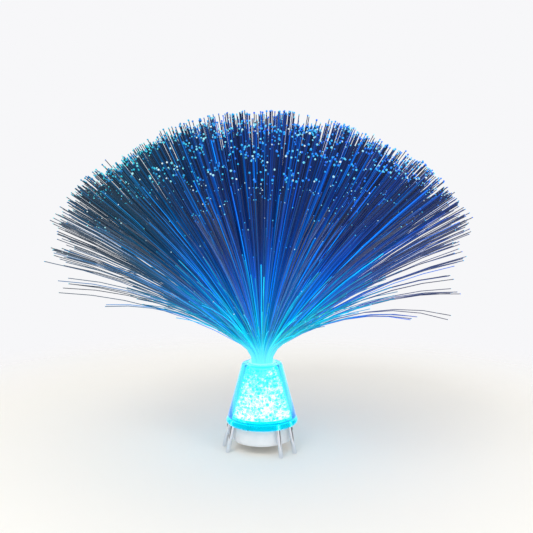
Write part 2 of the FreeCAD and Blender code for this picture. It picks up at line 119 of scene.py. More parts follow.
clear_selection()
bpy.ops.object.camera_add(
    location=(0, -camera_distance, camera_height), rotation=(math.pi / 2 - look_down, 0, 0)
)
camera = bpy.context.object
camera.name = "camera"
camera.data.lens = 50
camera.data.sensor_width = 36
camera.data.shift_x = (picture_size / 2 - axis_pixel) / picture_size
camera.data.clip_start = 0.01
bpy.context.scene.camera = camera
bpy.context.scene.view_settings.view_transform = "Standard"
print("camera shift", round(camera.data.shift_x, 4))

# %% [markdown]
# Materials are node trees. The colours are noted as they look on screen, from 0 to 255, and
# a helper turns them into the linear values that the shader works with. A second helper adds
# a node, sets its plain values and joins its inputs, so that a tree reads as a short list.

# %% Helpers for materials
def colour(red, green, blue):
    """A screen colour as linear light."""
    linear = []
    for level in (red, green, blue):
        share = level / 255
        linear.append(share / 12.92 if share <= 0.04045 else ((share + 0.055) / 1.055) ** 2.4)
    return (*linear, 1.0)


def new_material(name, **sockets):
    """A material whose Principled shader has plain values on the sockets that are named."""
    material = bpy.data.materials.new(name)
    material.use_nodes = True
    shader = material.node_tree.nodes["Principled BSDF"]
    for socket, value in sockets.items():
        shader.inputs[socket.replace("_", " ")].default_value = value
    return material, material.node_tree, shader


def add_node(tree, kind, links=None, values=None, **settings):
    node = tree.nodes.new("ShaderNode" + kind)
    for setting, value in settings.items():
        setattr(node, setting, value)
    for socket, value in (values or {}).items():
        node.inputs[socket].default_value = value
    for socket, source in (links or {}).items():
        tree.links.new(source, node.inputs[socket])
    return node


def ramp(tree, source, stops):
    """A colour ramp over a value: stops are pairs of a place and a colour."""
    node = add_node(tree, "ValToRGB", {"Fac": source})
    elements = node.color_ramp.elements
    while len(elements) < len(stops):
        elements.new(0.5)
    for element, (place, shade) in zip(elements, stops):
        element.position = place
        element.color = shade
    return node.outputs["Color"]


def remap(tree, source, start, end, low=0.0, high=1.0, smooth_step=False):
    """Maps a value that goes from start to end onto low to high."""
    values = {"From Min": start, "From Max": end, "To Min": low, "To Max": high}
    kind = "SMOOTHSTEP" if smooth_step else "LINEAR"
    node = add_node(tree, "MapRange", {"Value": source}, values, interpolation_type=kind)
    return node.outputs["Result"]


def mix_colours(tree, share, first, second):
    """Goes from the first colour to the second as the share goes from 0 to 1."""
    node = add_node(tree, "Mix", data_type="RGBA")
    for socket, source in ((0, share), (6, first), (7, second)):
        tree.links.new(source, node.inputs[socket])
    return node.outputs[2]


def object_noise(tree, scale, detail=2.0, roughness=0.5):
    """Noise that is fixed to the piece, because it reads the piece's own coordinates."""
    coordinates = add_node(tree, "TexCoord").outputs["Object"]
    values = {"Scale": scale, "Detail": detail, "Roughness": roughness}
    return add_node(tree, "TexNoise", {"Vector": coordinates}, values).outputs["Fac"]


def add_bump(tree, shader, source, strength, distance):
    values = {"Strength": strength, "Distance": distance}
    bump = add_node(tree, "Bump", {"Height": source}, values)
    tree.links.new(bump.outputs["Normal"], shader.inputs["Normal"])


def vary_roughness(tree, shader, source, low, high):
    spread = remap(tree, source, 0.0, 1.0, low, high)
    tree.links.new(spread, shader.inputs["Roughness"])


# %% [markdown]
# The photo is a cut-out on near-white paper with a soft shadow. A disc of floor catches the
# shadow and fades out into the white world before its edge, so that no horizon shows. Its
# paper is a little warm, because the lamp's blue light falls on it.

# %% Floor
floor_radius = 1.1
fade_starts = 0.30
fade_ends = 0.62
warm_paper = colour(243, 240, 233)

clear_selection()
bpy.ops.mesh.primitive_circle_add(vertices=96, radius=floor_radius, fill_type="NGON")
floor = bpy.context.object
floor.name = "floor"

material, tree, shader = new_material("floor_paper", Base_Color=warm_paper, Roughness=0.9)
position = add_node(tree, "TexCoord").outputs["Object"]
distance = add_node(tree, "VectorMath", {"Vector": position}, operation="LENGTH")
fade = remap(tree, distance.outputs["Value"], fade_starts, fade_ends, smooth_step=True)
clear = add_node(tree, "BsdfTransparent")
mix = add_node(tree, "MixShader", {"Fac": fade})
tree.links.new(shader.outputs["BSDF"], mix.inputs[1])
tree.links.new(clear.outputs["BSDF"], mix.inputs[2])
tree.links.new(mix.outputs["Shader"], tree.nodes["Material Output"].inputs["Surface"])
dress(floor, material)
print("floor", floor_radius, "m, fades out by", fade_ends, "m")

# %% [markdown]
# The world is white where the camera sees it. To every other ray it is a bright room with a
# dark wall low down on each side, like the black flags beside a studio table. The flags
# leave the darker streaks that make chrome and clear plastic readable.

# %% World
paper_white = colour(247, 247, 249)
room_colour = colour(240, 240, 240)
room_strength = 1.14
flag_starts = 0.60
flag_full = 0.80
flag_darkness = 0.85
flag_top = 0.55
flag_full_below = 0.25

world = bpy.data.worlds.new("studio")
bpy.context.scene.world = world
world.use_nodes = True
tree = world.node_tree
background = tree.nodes["Background"]
background.inputs["Color"].default_value = room_colour
direction = add_node(tree, "TexCoord").outputs["Generated"]
facing = add_node(tree, "SeparateXYZ", {"Vector": direction})
sideways = add_node(tree, "Math", {0: facing.outputs["X"]}, operation="ABSOLUTE").outputs["Value"]
dark_side = remap(tree, sideways, flag_starts, flag_full, 0.0, flag_darkness, smooth_step=True)
low_part = remap(tree, facing.outputs["Z"], flag_top, flag_full_below, smooth_step=True)
flags = add_node(tree, "Math", {0: dark_side, 1: low_part}, operation="MULTIPLY").outputs["Value"]
room_light = remap(tree, flags, 0.0, 1.0, room_strength, 0.0)
tree.links.new(room_light, background.inputs["Strength"])
white = add_node(tree, "Background", values={"Color": paper_white, "Strength": 1.0})
path = add_node(tree, "LightPath")
mix = add_node(tree, "MixShader", {"Fac": path.outputs["Is Camera Ray"]})
tree.links.new(background.outputs["Background"], mix.inputs[1])
tree.links.new(white.outputs["Background"], mix.inputs[2])
tree.links.new(mix.outputs["Shader"], tree.nodes["World Output"].inputs["Surface"])
print("world strength", room_strength)

# %% [markdown]
# Two large round lamps light the table. The key stands high on the left, and a weaker one on
# the right fills the dark side. Their size keeps the edges of the shadows soft.

# %% Soft lamps
def soft_lamp(name, place, target, size, power):
    clear_selection()
    bpy.ops.object.light_add(type="AREA", location=place)
    lamp = bpy.context.object
    lamp.name = name
    lamp.data.shape = "DISK"
    lamp.data.size = size
    lamp.data.energy = power
    lamp.rotation_euler = (Vector(target) - Vector(place)).to_track_quat("-Z", "Y").to_euler()


lamp_target = (0, 0, 0.1)
soft_lamp("key_lamp", (-0.5, -0.95, 1.35), lamp_target, size=0.9, power=8)
soft_lamp("fill_lamp", (1.0, -0.9, 0.9), lamp_target, size=0.7, power=3)

# %% [markdown]
# The clear cone is one moulding with a wall as thick as a tumbler's. A turned piece is the
# natural way to make it: one ring of edges is added, and extruded and widened once for each
# corner of its section. The ends are bridged where the section is a closed loop, and filled
# where it is a solid, and a bevel softens the corners.

# %% Turned pieces
edge_bevel = 0.0003


def shoulder(centre_radius, centre_z, radius, first, last, steps=7):
    """Points of a rounded corner, from one angle to another, for a turned section."""
    points = []
    for step in range(steps + 1):
        angle = math.radians(first + (last - first) * step / steps)
        across = centre_radius + radius * math.cos(angle)
        points.append((across, centre_z + radius * math.sin(angle)))
    return points


def turned_piece(name, section, ring=True, segments=96, bevel=0.0):
    """Turns a section, a list of radius and height, round the lamp's axis."""
    clear_selection()
    radius, z = section[0]
    bpy.ops.mesh.primitive_circle_add(vertices=segments, radius=radius, location=(0, 0, z))
    piece = bpy.context.object
    piece.name = name
    place_in_mesh(piece)
    bpy.ops.object.mode_set(mode="EDIT")
    bpy.ops.mesh.select_all(action="SELECT")
    for next_radius, next_z in section[1:]:
        bpy.ops.mesh.extrude_edges_move(TRANSFORM_OT_translate={"value": (0, 0, next_z - z)})
        widen = next_radius / radius
        bpy.ops.transform.resize(value=(widen, widen, 1), center_override=(0, 0, 0))
        radius, z = next_radius, next_z
    bpy.ops.mesh.select_all(action="DESELECT")
    bpy.ops.mesh.select_non_manifold()
    if ring:
        bpy.ops.mesh.bridge_edge_loops()
    else:
        bpy.ops.mesh.fill_holes(sides=0)
    bpy.ops.mesh.select_all(action="SELECT")
    bpy.ops.mesh.normals_make_consistent(inside=False)
    bpy.ops.object.mode_set(mode="OBJECT")
    if bevel:
        apply_modifier(piece, "BEVEL", width=bevel, segments=2, limit_method="ANGLE",
                       angle_limit=math.radians(35))
    smooth(piece)
    return piece


# %% [markdown]
# The acrylic is clear with a cyan cast, and the light inside makes its thick wall glow. Most
# of the look comes from the glass shader: where the wall is seen along its length, a ray
# crosses it many times and comes out deeply coloured. A little emission, stronger towards
# the grazing edge as in an edge-lit sheet, adds the glow that the wall picks up.

# %% Lit acrylic
def lit_acrylic(name, tint, depth_tint, depth, glow, face_glow, edge_glow):
    material, tree, shader = new_material(
        name, Base_Color=tint, Transmission_Weight=1.0, Roughness=0.03, IOR=1.49,
        Specular_IOR_Level=0.2, Specular_Tint=colour(0, 170, 230),
    )
    inside = add_node(tree, "VolumeAbsorption", values={"Color": depth_tint, "Density": depth})
    tree.links.new(inside.outputs["Volume"], tree.nodes["Material Output"].inputs["Volume"])
    facing = add_node(tree, "LayerWeight", values={"Blend": 0.35}).outputs["Facing"]
    strength = remap(tree, facing, 0.0, 1.0, face_glow, edge_glow)
    shader.inputs["Emission Color"].default_value = glow
    tree.links.new(strength, shader.inputs["Emission Strength"])
    return material


shell_acrylic = lit_acrylic(
    "shell_acrylic",
    tint=colour(240, 253, 255),
    depth_tint=colour(0, 246, 255),
    depth=170,
    glow=colour(0, 165, 255),
    face_glow=0.0,
    edge_glow=0.45,
)
base_acrylic = lit_acrylic(
    "base_acrylic",
    tint=colour(205, 250, 252),
    depth_tint=colour(0, 238, 250),
    depth=70,
    glow=colour(10, 225, 245),
    face_glow=0.2,
    edge_glow=0.38,
)
collar_acrylic = lit_acrylic(
    "collar_acrylic",
    tint=colour(235, 252, 255),
    depth_tint=colour(0, 225, 255),
    depth=90,
    glow=colour(150, 240, 255),
    face_glow=0.3,
    edge_glow=0.3,
)
print("acrylics", shell_acrylic.name, base_acrylic.name, collar_acrylic.name)

# %% [markdown]
# The cone is open below, where the disc closes it, and a hole in its top takes the collar.
# Its outer sizes and those of its neighbours are read from the boxes of the CAD pieces, so
# that the section meets them. Only its wall and its rounded shoulder are stated here.

# %% Clear cone
wall = 0.0050
top_wall = 0.0030
shoulder_round = 0.0030
shoulder_inset = shoulder_round * 0.88
top_radius = 0.0200
fit = 0.0002

shell_low, shell_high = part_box("outer_shell")
base_low, base_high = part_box("base_disc")
collar_tube_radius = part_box("light_tube")[1].x
foot_radius = shell_high.x
taper = (foot_radius - top_radius) / (shell_high.z - shell_low.z)


def cone_radius(z):
    return foot_radius - taper * (z - shell_low.z)


def hollow_radius(z):
    return cone_radius(z) - wall


ceiling = shell_high.z - top_wall
hole = collar_tube_radius + fit
lean_degrees = math.degrees(math.atan(taper))
section = [(foot_radius, shell_low.z)]
section += shoulder(
    top_radius - shoulder_inset, shell_high.z - shoulder_round, shoulder_round, lean_degrees, 90
)
section += [
    (hole, shell_high.z),
    (hole, ceiling),
    (hollow_radius(ceiling), ceiling),
    (hollow_radius(shell_low.z), shell_low.z),
]
clear_cone = turned_piece("clear_cone", section, bevel=edge_bevel)
dress(clear_cone, shell_acrylic)
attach(clear_cone, "base")
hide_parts("outer_shell")
print("clear cone", len(clear_cone.data.polygons), "faces")

# %% [markdown]
# The legs are slim chrome rods, splayed in three pairs. A cylinder is laid along each CAD
# rod, cut off level with the floor by a bisect, and its ends are rounded with a bevel.
# Handling leaves faint scuffs on polished chrome, so noise varies its gloss.

# %% Rods
rod_radius = 0.0021
foot_round = 0.0009
top_slice = 0.0012
foot_slice = 0.00001
leg_names = ["leg_rod_%d" % (number + 1) for number in range(6)]


def rod_ends(node):
    """The middle of a rod's foot and of its top, from its CAD mesh."""
    low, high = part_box(node)
    corners = [v.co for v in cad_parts[node].data.vertices]
    top = [c for c in corners if c.z > high.z - top_slice]
    foot = [c for c in corners if c.z < low.z + foot_slice]
    return sum(foot, Vector()) / len(foot), sum(top, Vector()) / len(top)


def cut_at_floor():
    """Cuts the active piece off at the floor, and closes the cut."""
    bpy.ops.object.mode_set(mode="EDIT")
    bpy.ops.mesh.select_all(action="SELECT")
    bpy.ops.mesh.bisect(plane_co=(0, 0, 0), plane_no=(0, 0, 1), use_fill=True, clear_inner=True)
    bpy.ops.object.mode_set(mode="OBJECT")


def rod(name, node, radius, overrun=0.0, bevel=0.0):
    foot, top = rod_ends(node)
    along = (top - foot).normalized()
    start = foot - along * rod_radius
    end = top + along * overrun
    clear_selection()
    bpy.ops.mesh.primitive_cylinder_add(
        vertices=32,
        radius=radius,
        depth=(end - start).length,
        location=(start + end) / 2,
        rotation=along.to_track_quat("Z", "Y").to_euler(),
    )
    piece = bpy.context.object
    piece.name = name
    place_in_mesh(piece)
    cut_at_floor()
    if bevel:
        apply_modifier(piece, "BEVEL", width=bevel, segments=4, limit_method="ANGLE",
                       angle_limit=math.radians(50))
    smooth(piece, 40)
    return piece


chrome, tree, shader = new_material(
    "polished_chrome", Base_Color=colour(226, 230, 238), Metallic=1.0, Roughness=0.06
)
scuffs = object_noise(tree, 900, detail=4)
vary_roughness(tree, shader, scuffs, 0.03, 0.14)
add_bump(tree, shader, scuffs, 0.04, 0.0001)

for node in leg_names:
    leg = rod("chrome_" + node, node, rod_radius, bevel=foot_round)
    dress(leg, chrome)
    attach(leg, "base")
    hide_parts(node)
print("rods", len(leg_names))

# %% [markdown]
# The disc under the cone is the brightest rim of the lamp, because the light board shines
# along it. It has a rounded lower edge, a low ring that centres the cone, and six sockets
# for the rods, which are cut out with a boolean.

# %% Base disc
base_round = 0.0025
centre_hole_radius = 0.0040
spigot_wall = 0.0018
socket_room = 0.00005
base_foot_radius = cone_radius(base_low.z)
spigot_radius = hollow_radius(shell_low.z) - fit
spigot_top_radius = spigot_radius - taper * (base_high.z - shell_low.z)

section = [(centre_hole_radius, base_low.z)]
section += shoulder(
    base_foot_radius - base_round, base_low.z + base_round, base_round, -90, lean_degrees
)
section += [
    (foot_radius, shell_low.z),
    (spigot_radius, shell_low.z),
    (spigot_top_radius, base_high.z),
    (spigot_top_radius - spigot_wall, base_high.z),
    (spigot_top_radius - spigot_wall, shell_low.z),
    (centre_hole_radius, shell_low.z),
]
glowing_base = turned_piece("glowing_base", section, ring=False, bevel=edge_bevel)
for node in leg_names:
    cutter = rod("cutter", node, rod_radius + socket_room, overrun=socket_room)
    apply_modifier(glowing_base, "BOOLEAN", object=cutter, operation="DIFFERENCE", solver="EXACT")
    bpy.data.objects.remove(cutter)
smooth(glowing_base)
dress(glowing_base, base_acrylic)
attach(glowing_base, "base")
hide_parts("base_disc")
print("glowing base", len(glowing_base.data.polygons), "faces")

# %% [markdown]
# The collar is the bright ring round the neck. It is a clear flanged sleeve, which the
# bundle's ferrule drops into, and stands on the light tube that leads down to the board.

# %% Collar
collar_wall = 0.0009
flange = 0.0010
ledge = 0.0012
ledge_width = 0.0014
collar_low, collar_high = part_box("top_collar")
collar_flange_radius = collar_high.x
inner = collar_tube_radius - collar_wall
section = [
    (collar_tube_radius, collar_low.z),
    (collar_tube_radius, collar_high.z - flange),
    (collar_flange_radius, collar_high.z - flange),
    (collar_flange_radius, collar_high.z),
    (inner, collar_high.z),
    (inner, collar_low.z + ledge),
    (inner - ledge_width, collar_low.z + ledge),
    (inner - ledge_width, collar_low.z),
]
neck_collar = turned_piece("neck_collar", section, bevel=edge_bevel)
dress(neck_collar, collar_acrylic)
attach(neck_collar, "base")
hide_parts("top_collar")
print("neck collar", len(neck_collar.data.polygons), "faces")

# %% [markdown]
# The chips are clear acrylic, broken and tumbled, and each facet catches the light another
# way. A few patterns are cut from a faceted ball with flat planes. Copies of them then make
# up one mesh, which is far lighter than an object for each chip.

# %% Chip patterns
pattern_count = 7
flats_per_chip = 4


def chip_pattern(number):
    """A faceted ball of radius 1 with flats cut off it at different angles."""
    chance = random.Random(number)
    clear_selection()
    bpy.ops.mesh.primitive_ico_sphere_add(subdivisions=1, radius=1)
    piece = bpy.context.object
    bpy.ops.object.mode_set(mode="EDIT")
    for flat in range(flats_per_chip):
        facing = Vector([chance.uniform(-1, 1) for axis in range(3)]).normalized()
        bpy.ops.mesh.select_all(action="SELECT")
        bpy.ops.mesh.bisect(
            plane_co=facing * chance.uniform(0.45, 0.75),
            plane_no=facing,
            use_fill=True,
            clear_outer=True,
        )
    bpy.ops.object.mode_set(mode="OBJECT")
    corners = [v.co.copy() for v in piece.data.vertices]
    faces = [tuple(p.vertices) for p in piece.data.polygons]
    bpy.data.objects.remove(piece)
    return corners, faces


def scatter(name, patterns, places):
    """One piece made of copies. Each place has a pattern, a point, a turn and a size."""
    corners = []
    faces = []
    for pattern, point, turn, size in places:
        pattern_corners, pattern_faces = patterns[pattern]
        rotation = turn.to_matrix()
        first = len(corners)
        corners += [rotation @ corner * size + point for corner in pattern_corners]
        faces += [tuple(first + index for index in face) for face in pattern_faces]
    mesh = bpy.data.meshes.new(name)
    mesh.from_pydata(corners, [], faces)
    piece = bpy.data.objects.new(name, mesh)
    bpy.context.scene.collection.objects.link(piece)
    return piece


def any_turn(chance):
    return Euler([chance.uniform(0, 2 * math.pi) for axis in range(3)])


chip_patterns = [chip_pattern(number) for number in range(pattern_count)]
print("chip patterns", [len(faces) for corners, faces in chip_patterns])

# %% [markdown]
# The chips lie loose, and fill the whole room between the light tube and the cone's wall.
# They are laid in rings and layers, and each is moved, turned and sized by chance so that
# no order shows. The chance is seeded, so every run lays the same chips.

# %% Chips in the cone
chip_radius = 0.0021
spacing = chip_radius * 1.62
lowest_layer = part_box("led_board")[1].z + chip_radius * 1.3
chance = random.Random(11)


def chip_places():
    places = []
    z = lowest_layer
    while z + chip_radius < ceiling:
        near = collar_tube_radius + chip_radius
        far = hollow_radius(z + chip_radius) - chip_radius * 0.9
        rings = max(1, round((far - near) / spacing) + 1)
        for ring in range(rings):
            radius = near + (far - near) * ring / max(1, rings - 1)
            count = int(2 * math.pi * radius / spacing)
            start = chance.uniform(0, 360)
            for place in range(count):
                angle = math.radians(start + 360 * place / count)
                point = Vector((radius * math.cos(angle), radius * math.sin(angle), z))
                shift = [chance.uniform(-0.25, 0.25) * chip_radius for axis in range(2)]
                point += Vector((0, 0, shift[0] + shift[1]))
                size = chip_radius * chance.uniform(0.62, 1.0)
                places.append((chance.randrange(len(chip_patterns)), point, any_turn(chance), size))
        z += spacing
    return places


chips_laid = chip_places()
crystal_fill = scatter("crystal_fill", chip_patterns, chips_laid)
print("chips", len(chips_laid), "with", len(crystal_fill.data.polygons), "faces")

# %% [markdown]
# Light from the board fills the chips, so they glow more than they refract. Some are nearly
# white and others deep cyan. Three things decide it: chance for each chip, a noise that
# varies it over the facets, and the height, since the lower chips lie nearer the board.

# %% Chip material
material, tree, shader = new_material(
    "crystal", Base_Color=colour(205, 250, 255), Transmission_Weight=0.15, Roughness=0.08, IOR=1.45
)
height = add_node(tree, "SeparateXYZ", {"Vector": add_node(tree, "TexCoord").outputs["Object"]})
low_glow = remap(tree, height.outputs["Z"], ceiling, shell_low.z, -0.36, 0.12)
island = add_node(tree, "NewGeometry").outputs["Random Per Island"]
chip_share = add_node(tree, "Math", {0: island, 2: low_glow}, {1: 0.8}, operation="MULTIPLY_ADD")
facet_share = remap(tree, object_noise(tree, 520, detail=1), 0.3, 0.7, -0.3, 0.5)
glow_share = add_node(
    tree,
    "Math",
    {0: chip_share.outputs["Value"], 1: facet_share},
    operation="ADD",
    use_clamp=True,
).outputs["Value"]
chip_colour = ramp(tree, glow_share, [
    (0.0, colour(0, 130, 182)),
    (0.2, colour(0, 176, 206)),
    (0.4, colour(110, 206, 212)),
    (0.7, colour(215, 232, 232)),
    (1.0, colour(255, 255, 255)),
])
chip_strength = remap(tree, glow_share, 0.0, 1.0, 1.35, 2.5)
tree.links.new(chip_colour, shader.inputs["Emission Color"])
tree.links.new(chip_strength, shader.inputs["Emission Strength"])
dress(crystal_fill, material)
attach(crystal_fill, "base")
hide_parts("crystal_chips")
print("chip material", material.name)

# %% [markdown]
# A bouquet of fibres is a fan. Each fibre leaves the ferrule upright, bends outwards within
# the first few centimetres, and then sags a little under its own weight, more so the further
# it leans. The same law of tilt, bend and droop shaped the CAD fibres. A path that would
# leave the CAD model's box is made shorter until it stays inside.

# %% Paths of the fibres
bundle_radius = 0.0096
neck_z = shell_high.z - 0.0020
bouquet_length = 0.2475
neck_bend = 0.024
fan_edge = math.radians(50)
widest = math.radians(78)
ring_share = 7 / 8
droop_of_widest = math.radians(40)
bend_steps = 3
path_steps = 6
box_low, box_high = cad_box
box_room = 0.0014
shorten_by = 0.98
slug_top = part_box("bundle_slug")[1].z


def place_share(tilt):
    """How far out in the bundle a fibre starts, if its tip leans by this much."""
    if tilt <= fan_edge:
        return ring_share * math.sqrt((1 - math.cos(tilt)) / (1 - math.cos(fan_edge)))
    return min(1.0, ring_share + (1 - ring_share) * (tilt - fan_edge) / (widest - fan_edge))


def fibre_path(tilt, azimuth, length, spread=1.0, sag=1.0):
    """Points of one fibre. The tip lies at a tilt from upright, seen from the neck, and the
    azimuth is the side that it leans to, from the front towards +X."""
    share = place_share(tilt)
    droop = sag * droop_of_widest * (tilt / widest) ** 2
    lean = max(0.0, tilt - droop / 2)
    bend = neck_bend + (1 - share) * bundle_radius
    side = Vector((math.sin(azimuth), -math.cos(azimuth), 0))
    start = side * bundle_radius * share * spread
    point = Vector((start.x, start.y, neck_z))
    points = [Vector((start.x, start.y, slug_top)), point.copy()]
    angles = [lean * (step + 0.5) / bend_steps for step in range(bend_steps)]
    lengths = [bend * lean / bend_steps] * bend_steps
    rest = length - bend * lean
    angles += [lean + droop * (step + 0.5) / path_steps for step in range(path_steps)]
    lengths += [rest / path_steps] * path_steps
    for angle, piece_length in zip(angles, lengths):
        direction = side * math.sin(angle) + Vector((0, 0, math.cos(angle)))
        point = point + direction * piece_length
        points.append(point.copy())
    return points


def inside_box(points):
    """True if a path stays in the CAD model's box."""
    tip = points[-1]
    return (
        box_low[0] + box_room < tip.x < box_high[0] - box_room
        and box_low[1] + box_room < tip.y < box_high[1] - box_room
        and tip.z < box_high[2] - box_room
    )


def kept_path(tip_angle, azimuth, length, **how):
    """The path, made shorter until it stays in the box."""
    points = fibre_path(tip_angle, azimuth, length, **how)
    while not inside_box(points):
        length *= shorten_by
        points = fibre_path(tip_angle, azimuth, length, **how)
    return points


print("fan edge", round(math.degrees(fan_edge)), "widest CAD tilt", round(math.degrees(widest)))

# %% [markdown]
# A fibre is a thin plastic thread, under a millimetre thick, and there are thousands. Every
# fibre is one spline of a curve with a four-sided bevel, which costs few faces, and the
# curve becomes a mesh at the end.

# %% Fibre pieces
fibre_radius = 0.00038


def fibre_mesh(name, paths, radius):
    """One piece with a thin four-sided tube along each path."""
    curve = bpy.data.curves.new(name, "CURVE")
    curve.dimensions = "3D"
    curve.bevel_depth = radius
    curve.bevel_resolution = 0
    curve.use_fill_caps = True
    for points in paths:
        spline = curve.splines.new("POLY")
        spline.points.add(len(points) - 1)
        for knot, point in zip(spline.points, points):
            knot.co = (*point, 1)
    piece = bpy.data.objects.new(name, curve)
    bpy.context.scene.collection.objects.link(piece)
    choose(piece)
    bpy.ops.object.convert(target="MESH")
    piece = bpy.context.object
    piece.name = name
    choose(piece)
    bpy.ops.object.shade_smooth()
    return piece


print("fibre thickness", fibre_radius * 2000, "mm")

# %% [markdown]
# The outline of a real bouquet is ragged: fibres cling together in tufts. So directions are
# first chosen for the tufts, spread evenly over the fan by the golden angle, and the fibres
# gather about them. Some end short of the rest, which breaks up the outline further.

# %% Directions and lengths
dense_edge = math.radians(49.5)
tuft_count = 160
cut_share = 0.2
lit_widest = math.radians(66)
golden_turn = math.pi * (3 - math.sqrt(5))
chance = random.Random(5)


def tuft_directions():
    """Directions spread evenly over the fan's dense part, by the golden angle."""
    tufts = []
    for number in range(tuft_count):
        height = 1 - (1 - math.cos(dense_edge)) * (number + 0.5) / tuft_count
        length = bouquet_length * chance.uniform(0.955, 1.0)
        tufts.append((math.acos(height), number * golden_turn, length))
    return tufts


def gathered(count, scatter_degrees):
    """Fibres that cling to the tufts, a few of them cut shorter."""
    tufts = tuft_directions()
    paths = []
    for number in range(count):
        tip_angle, azimuth, length = tufts[number % tuft_count]
        tip_angle = abs(tip_angle + math.radians(chance.gauss(0, scatter_degrees)))
        turn = math.radians(chance.gauss(0, scatter_degrees)) / max(0.12, math.sin(tip_angle))
        length *= 1 - abs(chance.gauss(0, 0.012))
        if chance.random() < cut_share:
            length *= chance.uniform(0.66, 0.97)
        spread = 1 - 0.35 * chance.random() ** 3
        paths.append((tip_angle, kept_path(tip_angle, azimuth + turn, length, spread=spread)))
    return paths


def stray_tuft(tilt, azimuth, share, count):
    """A few fibres that hang out of the fan together."""
    paths = []
    for number in range(count):
        tip_angle = math.radians(tilt + chance.gauss(0, 1.1))
        turn = math.radians(azimuth + chance.gauss(0, 2.5))
        length = bouquet_length * share * (1 - abs(chance.gauss(0, 0.035)))
        sag = chance.uniform(0.8, 1.15)
        paths.append((tip_angle, kept_path(tip_angle, turn, length, sag=sag)))
    return paths


def lit_strands(count):
    """Short bright fibres that end well inside the fan."""
    paths = []
    for number in range(count):
        tip_angle = lit_widest * math.sqrt(chance.random())
        azimuth = chance.uniform(0, 2 * math.pi)
        length = bouquet_length * chance.uniform(0.26, 0.66)
        sag = chance.uniform(0.7, 1.2)
        paths.append((tip_angle, kept_path(tip_angle, azimuth, length, sag=sag)))
    return paths


# %% [markdown]
# The sides of the fan are loose. Single fibres and small tufts hang out of it, a few of them
# almost level, and there are fewer of them the further they lean. Each stray tuft has its
# tilt and its side in degrees, its share of the full length, and its number of fibres.

# %% Stray tufts
fan_count = 4200
tuft_scatter = 1.9
lit_count = 400
left_strays = [
    (53, 263, 1.0, 20), (55, 272, 0.99, 16), (57, 280, 0.98, 12), (60, 266, 0.96, 10),
    (62, 284, 0.95, 9), (65, 272, 0.94, 6), (69, 268, 0.97, 3), (71, 278, 0.9, 3), (75, 262, 0.7, 2),
]
right_strays = [
    (53, 97, 1.0, 20), (55, 88, 1.0, 16), (57, 79, 1.0, 12), (60, 93, 0.97, 8),
    (63, 82, 0.96, 6), (69, 91, 0.87, 6), (72, 86, 0.84, 5), (79, 90, 0.66, 4), (82, 94, 0.84, 2),
]
rear_strays = [
    (54, 128, 1.0, 14), (56, 152, 0.99, 12), (55, 178, 1.0, 14), (57, 205, 0.98, 12),
    (54, 232, 1.0, 14), (62, 140, 0.95, 7), (64, 170, 0.94, 7), (63, 198, 0.95, 7),
    (66, 222, 0.92, 6), (72, 156, 0.86, 4), (75, 190, 0.84, 4), (70, 236, 0.86, 4),
]
front_strays = [
    (52, 12, 1.0, 10), (53, 40, 1.0, 12), (54, 62, 1.0, 12), (53, 298, 1.0, 12),
    (54, 322, 1.0, 12), (52, 346, 1.0, 10), (60, 56, 0.96, 6), (60, 304, 0.96, 6),
]

fan = gathered(fan_count, tuft_scatter)
hanging = []
for tuft in left_strays + right_strays + rear_strays + front_strays:
    hanging += stray_tuft(*tuft)
lit_front = lit_strands(lit_count)
print("fibres", len(fan) + len(hanging) + len(lit_front), "of which hanging", len(hanging))

# %% [markdown]
# The light leaks out of a fibre along its way, so its glow fades from cyan-white at the neck
# through royal blue to near-black, and only the cut tip is bright again. One shader does it
# for all of them from the distance to the neck. Each fibre is an island of its mesh, and the
# random value per island makes some of them dark and others bright, and leak further.
# The bouquet's left side leans to teal and its right side to pure blue, as in the photo. The
# fibres are clear plastic, and their dark base colour is painted shade, which stands for the
# dark backdrop seen through them. For the fibres that hang out of the fan it is a lighter grey.

# %% Fibre material
def level(value):
    """A grey of one plain value, for ramps that carry a number."""
    return (value, value, value, 1)


def leaked_share(tree, from_neck, island, reach):
    """How far a point is along its fibre's glow. A few fibres leak much further."""
    luck = add_node(tree, "Math", {0: island}, {1: 5.0}, operation="POWER").outputs["Value"]
    leak = remap(tree, luck, 0.0, 1.0, reach * 0.88, reach * 2.4)
    links = {0: from_neck, 1: leak}
    return add_node(tree, "Math", links, operation="DIVIDE", use_clamp=True).outputs["Value"]


def fibre_strength(tree, from_neck, island, darkest, brightest):
    """Even at the neck, and different for each fibre where they stand apart."""
    noise = add_node(tree, "TexWhiteNoise", {"W": island}, noise_dimensions="1D")
    varied = ramp(tree, noise.outputs["Value"], [
        (0.0, level(darkest)),
        (0.35, level(0.4)),
        (0.75, level(0.75)),
        (0.9, level(1.0)),
        (1.0, level(brightest)),
    ])
    apart = remap(tree, from_neck, 0.01, 0.055)
    strength = add_node(tree, "Mix", {0: apart, 3: varied}, {2: 1.05}, data_type="FLOAT")
    return strength.outputs[0]


def glowing_fibre(name, plastic, darkest, brightest, reach, stops):
    # The base colour is painted shade: the dark backdrop seen through a clear fibre.
    material, tree, shader = new_material(
        name, Base_Color=plastic, Roughness=0.35, Specular_IOR_Level=0.25
    )
    position = add_node(tree, "TexCoord").outputs["Object"]
    neck = {1: (0, 0, neck_z)}
    from_neck = add_node(
        tree, "VectorMath", {0: position}, neck, operation="DISTANCE"
    ).outputs["Value"]
    island = add_node(tree, "NewGeometry").outputs["Random Per Island"]
    share = leaked_share(tree, from_neck, island, reach)
    across = add_node(tree, "SeparateXYZ", {"Vector": position}).outputs["X"]
    left = remap(tree, across, -0.015, -0.120, 0.0, 0.85, smooth_step=True)
    light = mix_colours(tree, left, ramp(tree, share, stops), ramp(tree, share, teal_stops))
    strength = fibre_strength(tree, from_neck, island, darkest, brightest)
    tree.links.new(light, shader.inputs["Emission Color"])
    tree.links.new(strength, shader.inputs["Emission Strength"])
    return material


